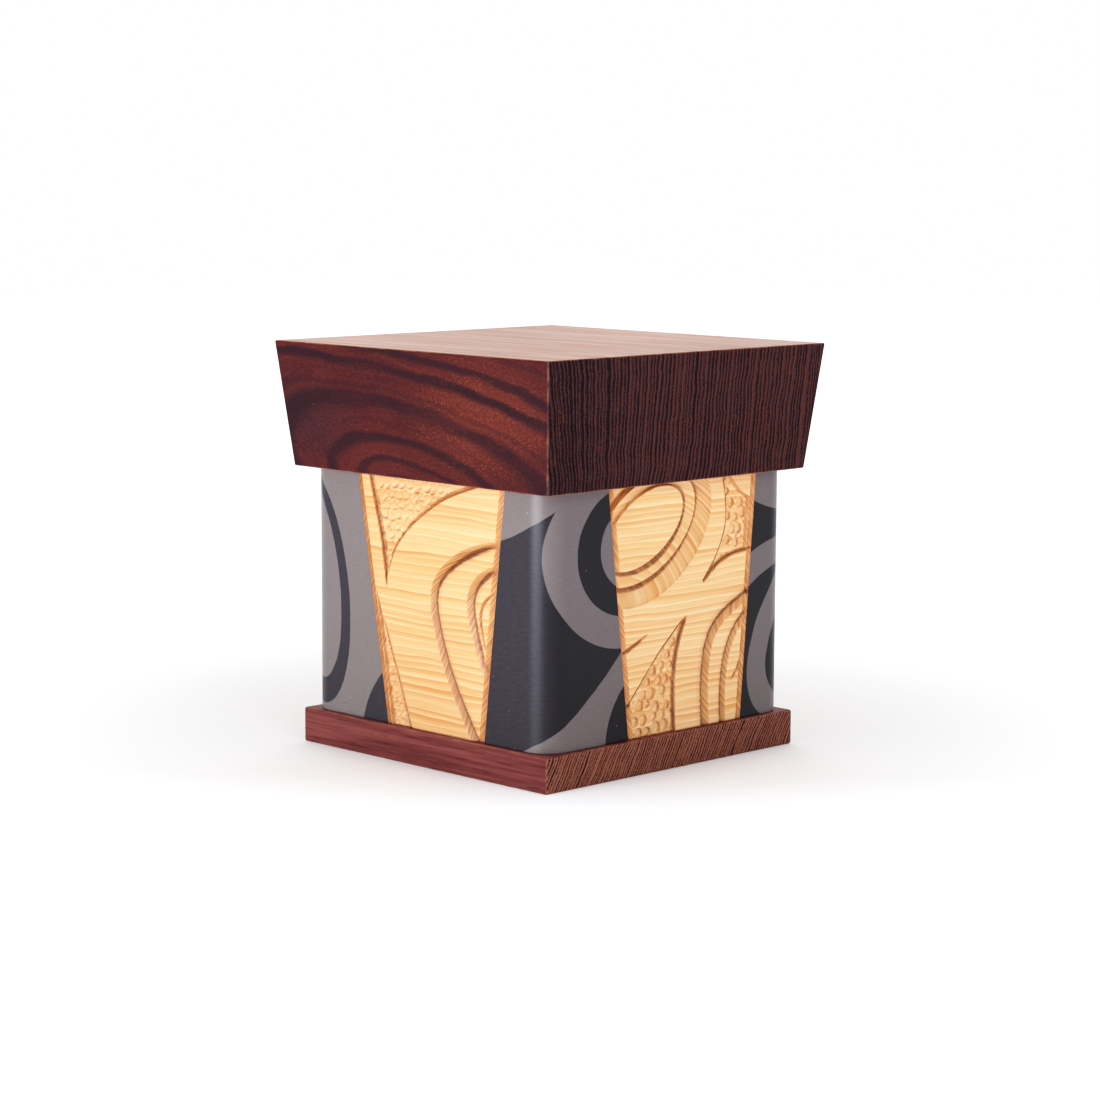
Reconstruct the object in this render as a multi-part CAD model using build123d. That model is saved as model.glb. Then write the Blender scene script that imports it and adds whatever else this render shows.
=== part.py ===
from build123d import *

import os
from math import atan2, degrees, sqrt

# A kerf-bent lidded box in cedar.
#
# One plank is kerfed across its inner side, bent round three corners and closed at the fourth with a rabbet
# and pegs. It stands on a base board that is pegged up into its lower edge. A thick, flared lid is lifted off
# by hand: its tenon drops into the mouth, and its underside is hollowed.
#
# Millimetres, +Z up. The origin is the centre of the base board's underside. The pegged corner is the one at
# -X, +Y. The grain of the lid and of the base board runs along X, and the plank's grain runs round the box.

# ---- The plank that makes the four walls ----
wall_width = 131.0            # across the outsides of two opposite walls
wall_height = 95.0
plank_thickness = 9.5
corner_radius = 10.5          # outside of each bent corner
bend_skin = 3.5               # wood left beyond each kerf, which takes the bend
kerf_gap = 0.4                # what stays open of a kerf once the corner is bent

# ---- The rabbet that closes the fourth corner ----
rabbet_lip = 4.5              # wood that covers the other end of the plank
rabbet_gap = 0.15             # glue line, on both faces of the rabbet

# ---- Pegs through the rabbeted corner ----
corner_peg_count = 5
corner_peg_diameter = 3.0
corner_peg_length = 24.0
corner_peg_slant = 10.0       # degrees up or down, by turns, which locks the corner
corner_peg_cover = 2.0        # wood between a peg and the wall's inner face
corner_peg_end_distance = 13.0    # first and last peg, from the plank's edges

# ---- Pegs up through the base board ----
base_peg_diameter = 4.0
base_peg_bite = 14.0          # how far a peg enters the plank
base_peg_recess = 0.2         # heads stay this far above the underside
base_peg_corner_distance = 30.0   # from the outside of the wall that is square to the peg's own

peg_clearance = 0.05          # glue film round every peg
peg_end_room = 0.5            # empty depth past the end of every peg
peg_tip_chamfer = 0.5

# ---- Base board ----
base_overhang = 2.0           # how far it stands out past the walls
base_thickness = 13.5
base_edge_radius = 0.9
step_height = 5.0             # raised middle, which sits between the walls
step_clearance = 0.15         # between the raised middle and each wall
step_chamfer = 0.6

# ---- Lid ----
lid_overhang = 4.25           # lower edge of the lid, out past the walls
lid_flare = 5.25              # how much further out the top edge is than the lower edge
lid_thickness = 48.5
lid_edge_radius = 0.7
tenon_height = 6.0
tenon_clearance = 0.5         # between the tenon and each wall
tenon_corner_radius = 1.5
tenon_chamfer = 1.0           # leads the tenon into the mouth
hollow_rim = 9.0              # tenon wood left round the hollow
hollow_depth = 30.0           # from the tenon's lower face
hollow_corner_radius = 14.0
hollow_ceiling_radius = 6.0

# ---- Worked out from the sizes above ----
mouth_width = wall_width - 2 * plank_thickness
wall_middle = base_thickness + wall_height / 2
wall_top = base_thickness + wall_height
step_width = mouth_width - 2 * step_clearance
tenon_width = mouth_width - 2 * tenon_clearance
hollow_width = tenon_width - 2 * hollow_rim
lid_lower_width = wall_width + 2 * lid_overhang
lid_upper_width = lid_lower_width + 2 * lid_flare
standing = (Align.CENTER, Align.CENTER, Align.MIN)
bent_corners = [(1, -1), (1, 1), (-1, -1)]


def square_prism(width, height, corner, bottom):
    """An upright square prism with rounded corners, from the height called bottom."""
    return Pos(0, 0, bottom) * extrude(RectangleRounded(width, width, corner), height)


def walls_outside():
    """Everything within the outer surface of the walls."""
    return square_prism(wall_width, wall_height, corner_radius, base_thickness)


def kerf(x_side, y_side):
    """The slit that a closed kerf leaves, from a corner of the mouth out towards the bend."""
    wood_on_diagonal = corner_radius - (corner_radius - plank_thickness) * sqrt(2)
    depth = wood_on_diagonal - bend_skin
    run_in = plank_thickness / 2
    slit = Pos((depth - run_in) / 2, 0, 0) * Box(depth + run_in, kerf_gap, wall_height)
    turn = degrees(atan2(y_side, x_side))
    return Pos(x_side * mouth_width / 2, y_side * mouth_width / 2, wall_middle) * Rot(0, 0, turn) * slit


def rabbet():
    """The glue line of the closed corner: behind the lip, then along the other wall's inner face."""
    lip_face = -wall_width / 2 + rabbet_lip
    inner_face = mouth_width / 2
    behind_lip = Pos(lip_face, inner_face - rabbet_gap, wall_middle) * Box(
        rabbet_gap,
        plank_thickness + 2 * rabbet_gap,
        wall_height,
        align=(Align.MIN, Align.MIN, Align.CENTER),
    )
    shoulder = Pos(lip_face, inner_face - rabbet_gap, wall_middle) * Box(
        plank_thickness - rabbet_lip + rabbet_gap,
        rabbet_gap,
        wall_height,
        align=(Align.MIN, Align.MIN, Align.CENTER),
    )
    return behind_lip + shoulder


def corner_peg_place(number):
    """The outer end of a corner peg, whose length runs along +X, up or down by turns."""
    first = base_thickness + corner_peg_end_distance
    spacing = (wall_height - 2 * corner_peg_end_distance) / (corner_peg_count - 1)
    slant = corner_peg_slant if number % 2 else -corner_peg_slant
    across = mouth_width / 2 + corner_peg_cover + corner_peg_diameter / 2
    return Pos(-wall_width / 2, across, first + number * spacing) * Rot(0, slant, 0) * Rot(0, 90, 0)


def corner_peg(number):
    """A peg with a chamfered tip, pared flush with the rounded outside of the corner."""
    peg = Cylinder(corner_peg_diameter / 2, corner_peg_length, align=standing)
    peg = chamfer(peg.edges().sort_by(Axis.Z)[-1], peg_tip_chamfer)
    return walls_outside() & (corner_peg_place(number) * peg)


def corner_peg_hole(number):
    """The hole for one corner peg, which also runs out past the outer surface."""
    run_out = corner_peg_diameter
    length = run_out + corner_peg_length + peg_end_room
    hole = Cylinder(corner_peg_diameter / 2 + peg_clearance, length, align=standing)
    return corner_peg_place(number) * Pos(0, 0, -run_out) * hole


def base_peg_places():
    """Two pegs under each wall, in the middle of the plank's thickness."""
    across = (wall_width - plank_thickness) / 2
    along = wall_width / 2 - base_peg_corner_distance
    return [Rot(0, 0, turn) * Pos(across, side * along, 0) for turn in (0, 90, 180, 270) for side in (-1, 1)]


def base_peg(place):
    """A peg from just above the underside of the base board up into the plank."""
    length = base_thickness - base_peg_recess + base_peg_bite
    peg = Cylinder(base_peg_diameter / 2, length, align=standing)
    peg = chamfer(peg.edges().sort_by(Axis.Z)[-1], peg_tip_chamfer)
    return place * Pos(0, 0, base_peg_recess) * peg


def base_peg_hole(place):
    """The hole for one base peg, through the base board and into the plank."""
    length = base_thickness + base_peg_bite + peg_end_room
    hole = Cylinder(base_peg_diameter / 2 + peg_clearance, length, align=standing)
    return place * hole


def side_plank():
    """The bent plank, open along the glue line of its closed corner."""
    plank = walls_outside()
    plank -= Pos(0, 0, wall_middle) * Box(mouth_width, mouth_width, wall_height)
    for x_side, y_side in bent_corners:
        plank -= kerf(x_side, y_side)
    plank -= rabbet()
    for number in range(corner_peg_count):
        plank -= corner_peg_hole(number)
    for place in base_peg_places():
        plank -= base_peg_hole(place)
    return plank


def base_board():
    """A flat board with eased edges and a raised middle that fits between the walls."""
    width = wall_width + 2 * base_overhang
    board = Box(width, width, base_thickness, align=standing)
    board = fillet(board.edges(), base_edge_radius)
    step = Pos(0, 0, base_thickness) * Box(step_width, step_width, step_height, align=standing)
    step = chamfer(step.edges().group_by(Axis.Z)[-1], step_chamfer)
    board += step
    for place in base_peg_places():
        board -= base_peg_hole(place)
    return board


def lid_block():
    """A solid block that flares upwards, with a tenon below and a hollow carved up through it."""
    lower = Pos(0, 0, wall_top) * Rectangle(lid_lower_width, lid_lower_width)
    upper = Pos(0, 0, wall_top + lid_thickness) * Rectangle(lid_upper_width, lid_upper_width)
    block = loft([lower, upper])
    block = fillet(block.edges(), lid_edge_radius)
    tenon_bottom = wall_top - tenon_height
    tenon = square_prism(tenon_width, tenon_height, tenon_corner_radius, tenon_bottom)
    tenon = chamfer(tenon.edges().group_by(Axis.Z)[0], tenon_chamfer)
    hollow = square_prism(hollow_width, hollow_depth, hollow_corner_radius, tenon_bottom)
    hollow = fillet(hollow.edges().group_by(Axis.Z)[-1], hollow_ceiling_radius)
    return block + tenon - hollow


def write(shape, node):
    """Writes one piece as parts/NODE.step."""
    export_step(shape, "parts/" + node + ".step")


os.makedirs("parts", exist_ok=True)
write(side_plank(), "side_plank")
write(base_board(), "base_board")
write(lid_block(), "lid_block")
for number in range(corner_peg_count):
    write(corner_peg(number), "corner_peg_" + str(number + 1))
for number, place in enumerate(base_peg_places()):
    write(base_peg(place), "base_peg_" + str(number + 1))
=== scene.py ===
import math

import bpy
import numpy as np
from mathutils import Matrix, Vector


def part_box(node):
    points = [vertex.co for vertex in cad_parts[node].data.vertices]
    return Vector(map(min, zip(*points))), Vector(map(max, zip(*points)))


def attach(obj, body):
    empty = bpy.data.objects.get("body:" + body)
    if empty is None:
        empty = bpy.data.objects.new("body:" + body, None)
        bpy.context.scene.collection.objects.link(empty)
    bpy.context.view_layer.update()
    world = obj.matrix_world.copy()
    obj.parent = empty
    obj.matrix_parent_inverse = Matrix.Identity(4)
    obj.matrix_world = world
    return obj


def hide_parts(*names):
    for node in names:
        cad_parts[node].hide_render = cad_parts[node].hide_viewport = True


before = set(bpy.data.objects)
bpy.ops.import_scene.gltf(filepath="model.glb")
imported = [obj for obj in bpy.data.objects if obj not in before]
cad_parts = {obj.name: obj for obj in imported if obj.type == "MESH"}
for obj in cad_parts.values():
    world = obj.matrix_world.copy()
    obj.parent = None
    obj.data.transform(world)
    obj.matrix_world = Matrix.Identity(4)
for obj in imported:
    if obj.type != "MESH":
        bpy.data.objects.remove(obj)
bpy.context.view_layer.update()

# A kerf-bent cedar box with a carved, bare panel on each painted wall, a flared lid and a base board.
#
# Lengths are in metres, except that carving is laid out in millimetres on each face: across from the middle
# of the face, to the right as it is looked at, and up from the plank's lower edge.

MM = 0.001

plank_low, plank_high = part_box("side_plank")
lid_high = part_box("lid_block")[1]
base_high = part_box("base_board")[1]

# ---- The plank, as it was cut and bent ----
HALF_WIDTH = plank_high.x / MM              # middle of the box to the outside of a wall
PLANK_FOOT = plank_low.z / MM
PLANK_HEIGHT = (plank_high.z - plank_low.z) / MM
BEND_RADIUS = 10.5
PLANK_THICKNESS = 9.5
BEND_SKIN = 3.5
KERF_GAP = 0.4
BEND_STEPS = 10                             # facets in half of a bent corner
RABBET_LIP = 4.5
RABBET_GAP = 0.15
FLAT = 2 * (HALF_WIDTH - BEND_RADIUS)       # straight stretch of one wall
BEND = math.pi / 2 * BEND_RADIUS            # length of a bent corner, along its outside
WALL_STEP = FLAT + BEND                     # from the middle of one corner to the middle of the next
MOUTH = HALF_WIDTH - PLANK_THICKNESS
ARRIS = 0.35                                # how much the plank's edges are rubbed down
CORNER_PEGS = 5
CORNER_PEG_END = 13.0                       # first and last corner peg, from the plank's edges
CORNER_PEG_SLANT = 10.0                     # degrees up or down, by turns
CORNER_PEG_COVER = 3.5                      # inner face to the middle of a corner peg
CORNER_PEG_HOLE = 1.55                      # radius
CORNER_PEG_REACH = 24.1
BASE_PEG_FROM_CORNER = 30.0
BASE_PEG_HOLE = 2.05                        # radius
BASE_PEG_TOP = 28.0
HOLE_SIDES = 40
HOLE_RUN_OUT = 3.0                          # a drilled hole starts this far outside the wood
PANEL_THICKNESS = 4.5                       # wood that a carved panel's own mesh takes in
PANEL_GRID = (290, 330)                     # points across and up a carved panel
LID_FOOT = PLANK_FOOT + PLANK_HEIGHT
LID_FLARE = 5.25

# A panel's two slanted sides: across at the foot and across at the rim, left and right.
# Walls are numbered by quarter turns from the +X wall, which is 0; the -Y wall is -1.
PANEL_SIDES = {"ovals": ((-23.0, 39.0), (-34.5, 46.5)), "waves": ((-20.0, 33.0), (-37.0, 43.5))}
BORDER_DEPTH = 1.3
BORDER_WIDTH = {"ovals": (2.5, 2.6), "waves": (1.9, 2.9)}    # left and right
WALL_DESIGN = {-2: "ovals", -1: "waves", 0: "ovals", 1: "waves"}
WALL_NAME = {-2: "left", -1: "front", 0: "right", 1: "back"}


# ---- The unbent plank and where it lies once bent ----

def wall_middle(wall):
    """How far round the box, from the middle of the front corner, the middle of a wall is."""
    return wall * WALL_STEP + WALL_STEP / 2


def round_the_box(around, depth):
    """X and Y, in mm, of a point so far round the outside of the box and so deep in the wall."""
    around = np.asarray(around, float)
    wall = np.floor(around / WALL_STEP)
    along = around - wall * WALL_STEP - WALL_STEP / 2
    bend = np.clip(np.abs(along) - FLAT / 2, 0, None) / BEND_RADIUS * np.sign(along)
    centre = HALF_WIDTH - BEND_RADIUS
    radius = BEND_RADIUS - np.asarray(depth, float)
    out = centre + radius * np.cos(bend)
    side = np.clip(along, -FLAT / 2, FLAT / 2) + radius * np.sin(bend)
    turn = wall * math.pi / 2
    return out * np.cos(turn) - side * np.sin(turn), out * np.sin(turn) + side * np.cos(turn)


def panel_side(design, side, up):
    """Across, in mm, of the left (0) or right (1) side of a design's panel at a height on the plank."""
    foot, rim = PANEL_SIDES[design]
    return foot[side] + (rim[side] - foot[side]) * np.asarray(up, float) / PLANK_HEIGHT


def add_object(name, data):
    """A new object in the scene, at the origin."""
    added = bpy.data.objects.new(name, data)
    bpy.context.scene.collection.objects.link(added)
    return added


def make_mesh(name, points_mm, faces):
    """A mesh object at the origin from points in mm."""
    mesh = bpy.data.meshes.new(name)
    mesh.from_pydata([tuple(p) for p in np.asarray(points_mm) * MM], [], faces)
    mesh.update()
    return add_object(name, mesh)


def lay_board_maps(mesh, around, up, depth):
    """Two UV maps that say where each corner of each face was on the unbent plank, in metres."""
    vertex = np.empty(len(mesh.loops), np.int32)
    mesh.loops.foreach_get("vertex_index", vertex)
    for name, first, second in (("board", around, up), ("board_depth", depth, np.zeros(len(depth)))):
        layer = mesh.uv_layers.new(name=name)
        pairs = np.column_stack([np.asarray(first)[vertex], np.asarray(second)[vertex]]) * MM
        layer.data.foreach_set("uv", pairs.astype(np.float32).ravel())


# ---- Carving: lines, bevels, pockets and ovals cut into a panel ----

def smooth_line(points, steps=10):
    """A smooth curve through a few points, as short chords."""
    p = np.array(points, float)
    p = np.vstack([2 * p[0] - p[1], p, 2 * p[-1] - p[-2]])
    t = np.linspace(0, 1, steps, endpoint=False)[:, None]
    parts = []
    for a, b, c, d in zip(p, p[1:], p[2:], p[3:]):
        parts.append(0.5 * (2 * b + (c - a) * t + (2 * a - 5 * b + 4 * c - d) * t**2
                            + (3 * b - a - 3 * c + d) * t**3))
    return np.vstack(parts + [p[-2:-1]])


class Panel:
    """The carved surface of one panel: across and up of every point, and how far it is cut back, in mm."""

    def __init__(self, design):
        columns, rows = PANEL_GRID
        self.up = np.linspace(0, PLANK_HEIGHT, rows)[:, None] * np.ones((1, columns))
        share = np.linspace(0, 1, columns)[None, :]
        left, right = (panel_side(design, side, self.up) for side in (0, 1))
        self.across = left + (right - left) * share
        self.from_left = self.across - left
        self.from_right = right - self.across
        self.depth = np.zeros_like(self.up)
        self.gouged = np.zeros_like(self.up)
        # Painted shade in the cuts, from 0 to 1, which the finish turns into brown and near-black.
        self.painted_cut_shade = np.zeros_like(self.up)

    def measure(self, points):
        """For every point of the panel: distance to a curve, plus on its left, and the share along it."""
        line = smooth_line(points)
        lengths = np.hypot(*np.diff(line, axis=0).T)
        starts = np.concatenate([[0], np.cumsum(lengths)])
        best = np.full(self.up.shape, 1e9)
        signed = np.zeros_like(best)
        share = np.zeros_like(best)
        for (ax, ay), (bx, by), length, start in zip(line, line[1:], lengths, starts):
            dx, dy = (bx - ax) / length, (by - ay) / length
            px, py = self.across - ax, self.up - ay
            t = np.clip(px * dx + py * dy, 0, length)
            gap = np.hypot(px - t * dx, py - t * dy)
            nearer = gap < best
            best = np.where(nearer, gap, best)
            signed = np.where(nearer, np.where(dx * py - dy * px >= 0, gap, -gap), signed)
            share = np.where(nearer, (start + t) / starts[-1], share)
        return signed, share

    def side_of(self, points):
        """For every point of the panel: distance to a curve, plus on its left."""
        return self.measure(points)[0]

    def cut(self, depth):
        """Cuts back to a depth wherever the wood still stands above it."""
        self.depth = np.maximum(self.depth, depth)

    def darken(self, gap, full, fade, strength=1.0):
        """Paints shade as a dark line at the bottom of a cut: its half width, how far it fades, and its
        strength.
        """
        self.painted_cut_shade = np.maximum(self.painted_cut_shade, strength * np.clip((full + fade - np.abs(gap)) / fade, 0, 1))

    def incise(self, points, depth, left, right, fade=(0.1, 0.1)):
        """A knife line with a bevel of its own width on each side; fade is the share at each end."""
        gap, share = self.measure(points)
        start, end = fade
        strength = np.ones_like(share)
        if start:
            strength = np.minimum(strength, np.clip(share / start, 0, 1) ** 0.7)
        if end:
            strength = np.minimum(strength, np.clip((1 - share) / end, 0, 1) ** 0.7)
        width = np.where(gap >= 0, left, right) * (0.25 + 0.75 * strength)
        fall = np.clip(1 - np.abs(gap) / width, 0, 1)
        self.cut(depth * strength * fall)
        # Painted shade: a dark line down the cut, as wide as the part of the bevel hidden at a slant, and a
        # fainter shade fading over the bevel.
        strength = np.clip(strength * 1.5, 0, 1) * min(1, depth / 1.6)
        wide = max(left, right)
        hidden = 0.8 * depth * wide / (depth + wide)
        self.darken(gap, hidden, 0.45, strength)
        self.darken(gap, 0, wide * 1.1, strength * 0.6)

    def border(self, left, right):
        """The V cut that sets the panel off from the paint, so wide down each slanted side."""
        for gap, wide in ((self.from_left, left), (self.from_right, right)):
            self.cut(BORDER_DEPTH * np.clip(1 - np.abs(gap / wide * 2 - 1), 0, 1))
            # Painted shade along the bottom of the V and along its wall by the paint.
            self.darken(gap - wide / 2, 0, 0.8, 0.55)
            self.darken(gap, 0, 0.6, 0.6)

    def pocket(self, inside, depth, wall):
        """A sunk floor: inside is the distance in from the pocket's outline, and wall the bevel round it."""
        self.cut(depth * np.clip(inside / wall, 0, 1))
        # Painted shade along the foot of the pocket's wall, inside it.
        self.darken(inside, 0.7 * wall, 0.8, np.where(inside > 0, 0.4, 0))

    def dimples(self, inside, size, pitch, depth, margin, seed):
        """Rows of gouge cuts over a pocket's floor, each deepest where the gouge was stopped."""
        pick = np.random.default_rng(seed)
        step = PLANK_HEIGHT / (self.up.shape[0] - 1)
        extra = np.zeros_like(self.up)
        centre_up = pitch[1] / 2
        row = 0
        while centre_up < PLANK_HEIGHT:
            centre_across = -HALF_WIDTH + (row % 2) * pitch[0] / 2
            while centre_across < HALF_WIDTH:
                ca = centre_across + pick.uniform(-0.18, 0.18) * pitch[0]
                cu = centre_up + pick.uniform(-0.2, 0.2) * pitch[1]
                grow = pick.uniform(0.78, 1.12)
                centre_across += pitch[0]
                line = int(np.clip(round(cu / step), 0, self.up.shape[0] - 1))
                column = int(np.argmin(np.abs(self.across[line] - ca)))
                room = inside[line, column] - margin
                if room < 0.5 * size[0] or abs(self.across[line, column] - ca) > 0.5:
                    continue
                grow *= min(1, room / size[0])
                p = (self.across - ca) / (size[0] * grow)
                q = (self.up - cu) / (size[1] * grow)
                reach = np.sqrt(p**2 + q**2)
                bowl = np.sqrt(np.clip(1 - reach**2, 0, 1))
                extra = np.maximum(extra, depth * grow * bowl**0.6 * (0.15 + 0.44 * (p + 1)))
                # Painted shade round each dimple's rim, strongest on its stopped side.
                rim = np.clip(1 - np.abs(reach - 0.88) / 0.3, 0, 1)
                stopped_side = np.clip(0.25 + 0.75 * p - 0.25 * q, 0, 1)
                self.painted_cut_shade = np.maximum(self.painted_cut_shade, 0.62 * (rim * stopped_side))
            centre_up += pitch[1]
            row += 1
        self.gouged = np.maximum(self.gouged, extra)

    def oval(self, centre, half, tilt):
        """Distance out from a tilted oval, minus inside it."""
        a, u = self.across - centre[0], self.up - centre[1]
        c, s = math.cos(math.radians(tilt)), math.sin(math.radians(tilt))
        reach = np.hypot(a, u) + 1e-6
        ratio = np.hypot((a * c + u * s) / half[0], (u * c - a * s) / half[1]) + 1e-6
        return reach * (1 - 1 / ratio)


def steep_wall(gap):
    """How far down a steep cut a point is, from 0 at its edge to 1 a little way beyond."""
    return np.clip(gap / 0.6, 0, 1)


def carve_ovals(panel):
    """A nested oval at the top left, a gouged pocket each side, and bundled curves at the lower right."""
    disc = panel.oval((-15, 78.5), (22.5, 12.2), 29)
    ring = panel.oval((-14, 78), (29, 17.2), 29)
    field = panel.oval((-11.5, 76.5), (35.5, 23.5), 31)
    ring_share = np.clip(disc / (disc - ring + 1e-6), 0, 1)
    bevel_share = np.clip(ring / (ring - field + 1e-6), 0, 1)
    in_ring = (disc > 0) & (ring <= 0)
    in_bevel = (ring > 0) & (field <= 0)
    toward_low = np.clip(0.5 + ((panel.across + 14) - (panel.up - 78)) / 40, 0, 1)
    # Painted shade round the disc and the ring, darkest on their lower right sides, which face away from the
    # light, with a fainter shade spread over the ring and bevel.
    panel.darken(disc, 2.5 * toward_low + 0.3, 0.8, np.where(in_ring, 0.4 + 0.6 * toward_low, 0))
    panel.darken(disc, 0, 4.5, np.where(in_ring, 0.42, 0))
    panel.darken(ring, 2.4 * toward_low + 0.3, 0.8, np.where(in_bevel, 0.4 + 0.5 * toward_low, 0))
    panel.darken(ring, 0, 6.0, np.where(in_bevel, 0.3, 0))
    ring_floor = 0.5 + (0.8 + 1.2 * toward_low) * (1 - ring_share**0.7)
    bevel = np.maximum(0.5, 3.3 * steep_wall(ring)) * (1 - bevel_share) ** 0.85
    panel.cut(np.where(in_ring, steep_wall(disc) * ring_floor, 0))
    panel.cut(np.where(in_bevel, bevel, 0))

    left_line = [(27.5, 96), (29.5, 86), (29.5, 76), (25, 65.5), (17.5, 56)]
    low_line = [(17.5, 56), (25.5, 61.8), (34, 64.8), (47, 66.3)]
    left = panel.side_of(left_line)
    low = panel.side_of(low_line)
    corner = panel.side_of([(31, 96), (37.5, 89), (48, 83)])
    inside = np.minimum(np.minimum(left, low), np.minimum(-corner, panel.from_right - 3.0))
    panel.pocket(inside, 1.0, 0.9)
    panel.dimples(inside, (2.0, 2.1), (4.4, 4.8), 1.3, 0.0, 5)
    panel.dimples(inside, (0.7, 0.65), (3.1, 2.9), 0.5, 0.0, 6)
    panel.incise(left_line, 1.5, 0.35, 0.45, (0, 0))
    panel.incise(low_line, 1.4, 0.4, 0.8, (0, 0))

    slope_line = [(8.2, 43.5), (1.3, 37.5), (-6, 31), (-13.5, 23), (-25, 10.5)]
    upright_line = [(8.2, 43.5), (4.6, 35.5), (2.2, 26), (1.4, 15), (2.2, -2)]
    slope = panel.side_of(slope_line)
    upright = panel.side_of(upright_line)
    inside = np.minimum(np.minimum(slope, -upright), panel.from_left - 2.6)
    panel.pocket(inside, 1.25, 0.55)
    panel.dimples(inside, (2.3, 2.15), (4.9, 4.6), 1.4, 0.0, 8)
    panel.dimples(inside, (0.75, 0.7), (3.3, 3.1), 0.5, 0.0, 9)
    panel.incise(upright_line, 1.5, 0.55, 0.3, (0.1, 0))
    panel.incise(slope_line, 1.4, 0.4, 0.9, (0.1, 0))

    panel.incise([(47, 51.5), (34, 45.7), (25, 40), (19.5, 32), (17.3, 20), (17.3, 8), (18, -2)],
                 2.1, 3.6, 0.4, (0.08, 0))
    panel.incise([(43, 43), (36, 37), (31, 29), (28.5, 20), (27.7, 9), (28.2, -2)], 1.8, 2.6, 0.35, (0.12, 0))
    panel.incise([(40.8, 37), (40.2, 29), (38, 21.5), (34.5, 17), (31, 15.6)], 1.0, 0.9, 0.9, (0.3, 0.35))
    panel.incise([(-29, 31.5), (-21.5, 34.6), (-12.5, 39)], 1.3, 1.1, 0.5, (0, 0.7))


def carve_waves(panel):
    """A gouged pocket under the rim, a long wave with a shorter one inside it, and a gouged sliver."""
    left_line = [(-30.8, 97), (-27, 83.5), (-23.6, 71), (-21, 55.5)]
    arc_line = [(33, 96.5), (12.5, 89.5), (0, 82.5), (-10, 75), (-17, 66.5), (-21, 55.5)]
    left = panel.side_of(left_line)
    arc = panel.side_of(arc_line)
    inside = np.minimum(left, -arc)
    panel.pocket(inside, 1.0, 1.1)
    panel.dimples(inside, (1.9, 1.7), (4.2, 3.9), 1.25, 0.2, 3)
    panel.dimples(inside, (0.7, 0.7), (2.9, 3.1), 0.5, 0.0, 4)
    panel.incise(left_line + [(-21.3, 52)], 1.3, 0.45, 0.65, (0, 0.15))
    panel.incise(arc_line, 1.15, 0.7, 1.1, (0, 0.2))

    panel.incise([(46, 75.5), (30, 71), (17.5, 65), (8.6, 57), (7, 47.5), (11.5, 32), (18.5, 17.5), (31, -2)],
                 2.4, 0.6, 3.2, (0.25, 0))
    panel.incise([(43, 67), (33, 61.3), (27.6, 55), (27.2, 47), (31, 34), (36, 20)],
                 2.2, 0.5, 3.4, (0.3, 0.5))
    panel.incise([(41, 58.5), (33.5, 53), (31, 48), (31.8, 41), (35, 31)], 0.9, 0.7, 0.8, (0.3, 0.5))

    edge_line = [(-23.5, 42), (-18.5, 28), (-13.5, 15.5), (-7, -2)]
    edge = panel.side_of(edge_line)
    inside = np.minimum(-edge, panel.from_left - 2.2)
    panel.pocket(inside, 1.0, 0.9)
    panel.dimples(inside, (1.3, 1.3), (2.9, 3.1), 0.9, 0.1, 11)
    panel.incise(edge_line, 0.9, 1.3, 0.8, (0.2, 0))


def carved_panel(wall, shapes):
    """One carved panel as a closed slab that fills its recess in the painted plank."""
    design = WALL_DESIGN[wall]
    panel = shapes[design]
    rows, columns = panel.up.shape
    edge = np.minimum(panel.up, PLANK_HEIGHT - panel.up)
    depth = panel.depth + panel.gouged + np.clip(ARRIS - edge, 0, ARRIS)
    depth[:, 0] = np.clip(ARRIS - edge[:, 0], 0, ARRIS)
    depth[:, -1] = depth[:, 0]
    around = wall_middle(wall) + panel.across

    index = np.arange(rows * columns).reshape(rows, columns)
    ring = np.concatenate([index[0, :], index[1:, -1], index[-1, -2::-1], index[-2:0:-1, 0]])
    back = rows * columns + np.arange(len(ring))
    hub = rows * columns + len(ring)
    all_around = np.concatenate([around.ravel(), around.ravel()[ring], [wall_middle(wall)]])
    all_up = np.concatenate([panel.up.ravel(), panel.up.ravel()[ring], [PLANK_HEIGHT / 2]])
    all_depth = np.concatenate([depth.ravel(), np.full(len(ring) + 1, PANEL_THICKNESS)])
    x, y = round_the_box(all_around, all_depth)

    front = np.stack([index[:-1, :-1], index[:-1, 1:], index[1:, 1:], index[1:, :-1]], -1).reshape(-1, 4)
    after = np.roll(np.arange(len(ring)), -1)
    sides = np.stack([ring[after], ring, back, back[after]], -1)
    fan = np.stack([back[after], back, np.full(len(ring), hub)], -1)
    faces = front.tolist() + sides.tolist() + fan.tolist()
    piece = make_mesh("carved_panel_" + WALL_NAME[wall], np.column_stack([x, y, all_up + PLANK_FOOT]), faces)
    lay_board_maps(piece.data, all_around, all_up, all_depth)

    sloping = panel.depth + 0.45 * panel.gouged
    across_fall = np.gradient(sloping, axis=1) / np.gradient(panel.across, axis=1)
    up_fall = np.gradient(sloping, axis=0) / np.gradient(panel.up, axis=0)
    steepest = 1.5
    cross_cut = np.clip(np.hypot(across_fall, 0.75 * up_fall), 0, steepest) / steepest
    # The panel's slope across the grain and its painted shade in the cuts go on as attributes.
    for name, values in (("cross_cut", cross_cut), ("painted_cut_shade", panel.painted_cut_shade)):
        whole = np.zeros(len(all_up), np.float32)
        whole[: values.size] = values.ravel()
        piece.data.attributes.new(name, "FLOAT", "POINT").data.foreach_set("value", whole)
    piece.data.shade_smooth()
    piece.data.set_sharp_from_angle(angle=math.radians(38))
    return piece


# ---- The painted plank ----

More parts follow.
